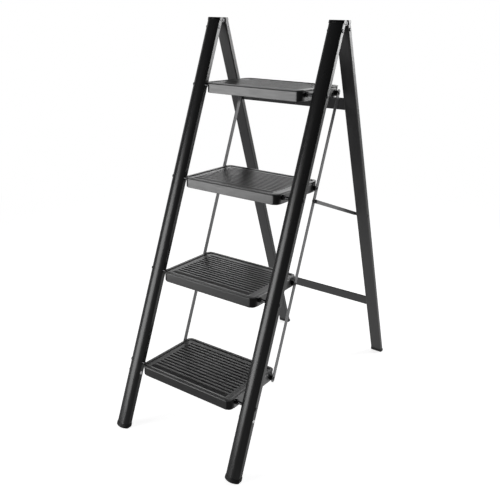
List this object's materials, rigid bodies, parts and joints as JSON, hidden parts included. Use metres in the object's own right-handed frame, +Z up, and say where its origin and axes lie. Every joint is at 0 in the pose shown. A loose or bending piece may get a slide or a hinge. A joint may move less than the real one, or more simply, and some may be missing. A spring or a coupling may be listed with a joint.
{
  "type": "folding step ladder",
  "caption": "Black folding household ladder with crowned tube rails, broad ribbed treads on pins, rear legs with flat braces, side link bars and spreaders.",
  "frame": {"origin": "on the floor, centred under the open ladder's footprint", "axes": "+X to the climber's right when facing the treads, +Y from the climbing side to the rear legs, +Z up"},
  "size_m": [0.4218, 0.8562, 1.0819],
  "materials": {
    "frame_paint": "satin black painted aluminium tube",
    "tread_paint": "satin charcoal-black painted pressed aluminium sheet",
    "bar_paint": "semi-gloss dark grey painted flat bar",
    "black_plastic": "fine-grained black moulded plastic",
    "bright_steel": "bare turned steel",
    "dark_steel": "blackened steel rivet"
  },
  "bodies": {
    "front_frame": {"left_front_rail": "frame_paint", "left_rail_cap": "black_plastic", "left_front_foot": "black_plastic", "left_rail_cap_rivet": "dark_steel", "left_rail_lower_rivet": "bright_steel", "left_hinge_pin": "dark_steel", "right_front_rail": "frame_paint", "right_rail_cap": "black_plastic", "right_front_foot": "black_plastic", "right_rail_cap_rivet": "dark_steel", "right_rail_lower_rivet": "bright_steel", "right_hinge_pin": "dark_steel"},
    "rear_frame": {"left_rear_leg": "frame_paint", "left_leg_cap": "black_plastic", "left_rear_foot": "black_plastic", "left_leg_cap_rivet": "dark_steel", "left_spreader_stud": "dark_steel", "right_rear_leg": "frame_paint", "right_leg_cap": "black_plastic", "right_rear_foot": "black_plastic", "right_leg_cap_rivet": "dark_steel", "right_spreader_stud": "dark_steel", "upper_rear_brace": "frame_paint", "lower_rear_brace": "frame_paint"},
    "tread_1": {"tread_1_tray": "tread_paint", "tread_1_left_bracket": "black_plastic", "tread_1_left_front_pin": "dark_steel", "tread_1_left_rear_pin": "dark_steel", "tread_1_right_bracket": "black_plastic", "tread_1_right_front_pin": "dark_steel", "tread_1_right_rear_pin": "dark_steel"},
    "tread_2": {"tread_2_tray": "tread_paint", "tread_2_left_bracket": "black_plastic", "tread_2_left_front_pin": "dark_steel", "tread_2_left_rear_pin": "dark_steel", "tread_2_right_bracket": "black_plastic", "tread_2_right_front_pin": "dark_steel", "tread_2_right_rear_pin": "dark_steel"},
    "tread_3": {"tread_3_tray": "tread_paint", "tread_3_left_bracket": "black_plastic", "tread_3_left_front_pin": "dark_steel", "tread_3_left_rear_pin": "dark_steel", "tread_3_right_bracket": "black_plastic", "tread_3_right_front_pin": "dark_steel", "tread_3_right_rear_pin": "dark_steel"},
    "tread_4": {"tread_4_tray": "tread_paint", "tread_4_left_bracket": "black_plastic", "tread_4_left_front_pin": "dark_steel", "tread_4_left_rear_pin": "dark_steel", "tread_4_right_bracket": "black_plastic", "tread_4_right_front_pin": "dark_steel", "tread_4_right_rear_pin": "dark_steel"},
    "left_link": {"left_link_bar": "bar_paint"},
    "left_spreader": {"left_spreader_bar": "bar_paint", "left_spreader_pin": "dark_steel"},
    "right_link": {"right_link_bar": "bar_paint"},
    "right_spreader": {"right_spreader_bar": "bar_paint", "right_spreader_pin": "dark_steel"}
  },
  "joints": [
    {"name": "rear_fold", "type": "hinge", "parent": "front_frame", "child": "rear_frame", "pos_m": [0, 0.00187, 1.07436], "axis": [-1, 0, 0], "range_deg": [0, 40]},
    {"name": "tread_1_fold", "type": "hinge", "parent": "front_frame", "child": "tread_1", "pos_m": [0, -0.35139, 0.17458], "axis": [1, 0, 0], "range_deg": [0, 68.5]},
    {"name": "tread_2_fold", "type": "hinge", "parent": "front_frame", "child": "tread_2", "pos_m": [0, -0.26034, 0.41811], "axis": [1, 0, 0], "range_deg": [0, 68.5]},
    {"name": "tread_3_fold", "type": "hinge", "parent": "front_frame", "child": "tread_3", "pos_m": [0, -0.16928, 0.66165], "axis": [1, 0, 0], "range_deg": [0, 68.5]},
    {"name": "tread_4_fold", "type": "hinge", "parent": "front_frame", "child": "tread_4", "pos_m": [0, -0.07823, 0.90518], "axis": [1, 0, 0], "range_deg": [0, 68.5]},
    {"name": "left_link_swing", "type": "hinge", "parent": "tread_4", "child": "left_link", "pos_m": [-0.15705, 0.07777, 0.89818], "axis": [1, 0, 0], "range_deg": [-68.5, 0]},
    {"name": "left_spreader_swing", "type": "hinge", "parent": "left_link", "child": "left_spreader", "pos_m": [-0.16255, -0.02519, 0.6228], "axis": [1, 0, 0], "range_deg": [-84.1, 0]},
    {"name": "right_link_swing", "type": "hinge", "parent": "tread_4", "child": "right_link", "pos_m": [0.15705, 0.07777, 0.89818], "axis": [1, 0, 0], "range_deg": [-68.5, 0]},
    {"name": "right_spreader_swing", "type": "hinge", "parent": "right_link", "child": "right_spreader", "pos_m": [0.16255, -0.02519, 0.6228], "axis": [1, 0, 0], "range_deg": [-84.1, 0]}
  ],
  "couplings": [
    {"joint": "tread_1_fold", "follows": "rear_fold", "ratio": 1.7125},
    {"joint": "tread_2_fold", "follows": "rear_fold", "ratio": 1.7125},
    {"joint": "tread_3_fold", "follows": "rear_fold", "ratio": 1.7125},
    {"joint": "tread_4_fold", "follows": "rear_fold", "ratio": 1.7125},
    {"joint": "left_link_swing", "follows": "rear_fold", "ratio": -1.7125},
    {"joint": "left_spreader_swing", "follows": "rear_fold", "ratio": -2.102},
    {"joint": "right_link_swing", "follows": "rear_fold", "ratio": -1.7125},
    {"joint": "right_spreader_swing", "follows": "rear_fold", "ratio": -2.102}
  ]
}
